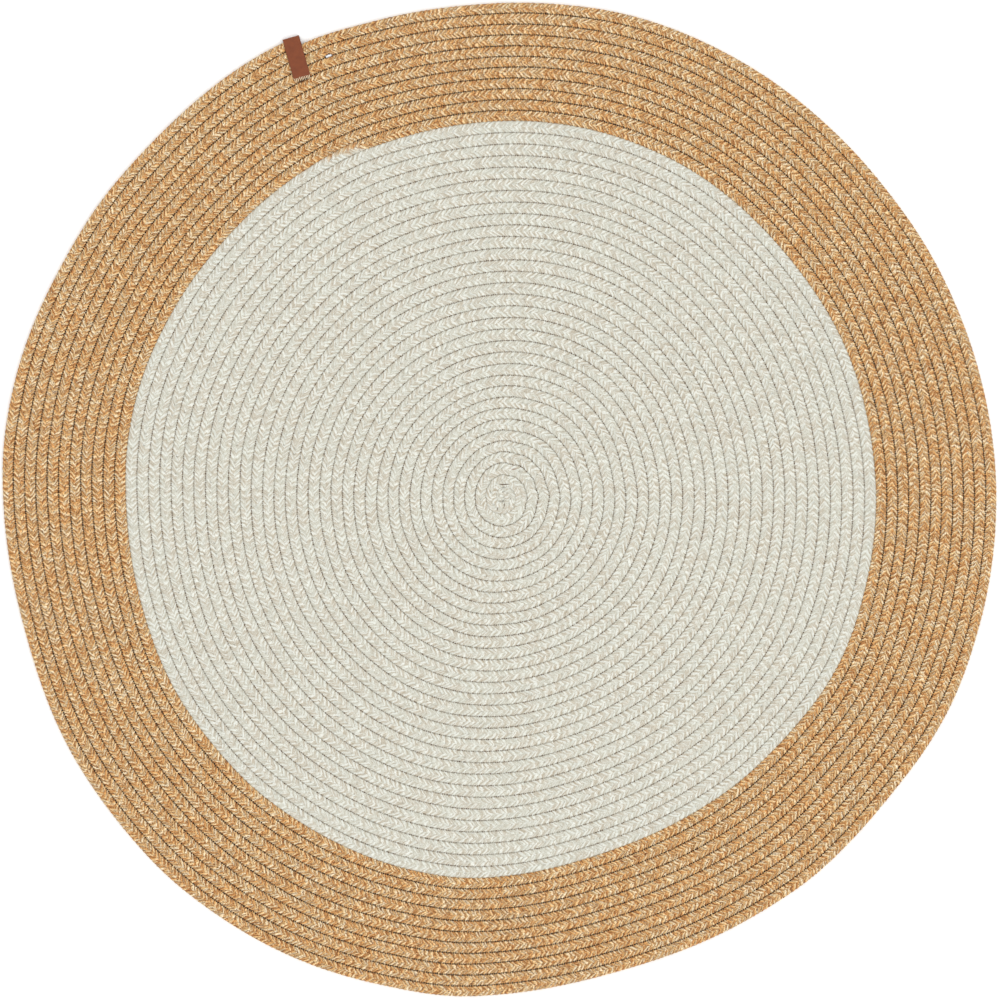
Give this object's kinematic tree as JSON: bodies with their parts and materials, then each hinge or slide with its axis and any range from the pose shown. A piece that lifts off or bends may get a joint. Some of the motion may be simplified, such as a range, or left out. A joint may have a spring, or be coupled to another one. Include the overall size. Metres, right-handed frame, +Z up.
{
  "type": "round outdoor rug",
  "caption": "Round flat rug of coiled and sewn braid, a cream centre inside a tan border, with a small leather tab folded over its edge.",
  "frame": {"origin": "middle of the rug's underside", "axes": "+Z up, out of the rug's face; seen from above with +X to the right, the leather tab is at the upper left, at about 115 degrees from +X"},
  "size_m": [1.1986, 1.198, 0.0085],
  "materials": {
    "cream_braid": "matt braided yarn, heathered cream",
    "tan_braid": "matt braided yarn, heathered tan",
    "tab_leather": "smooth brown leather, cut edges"
  },
  "bodies": {
    "root": {"centre_coil": "cream_braid", "border_coil": "tan_braid", "edge_tab": "tab_leather"}
  },
  "joints": []
}
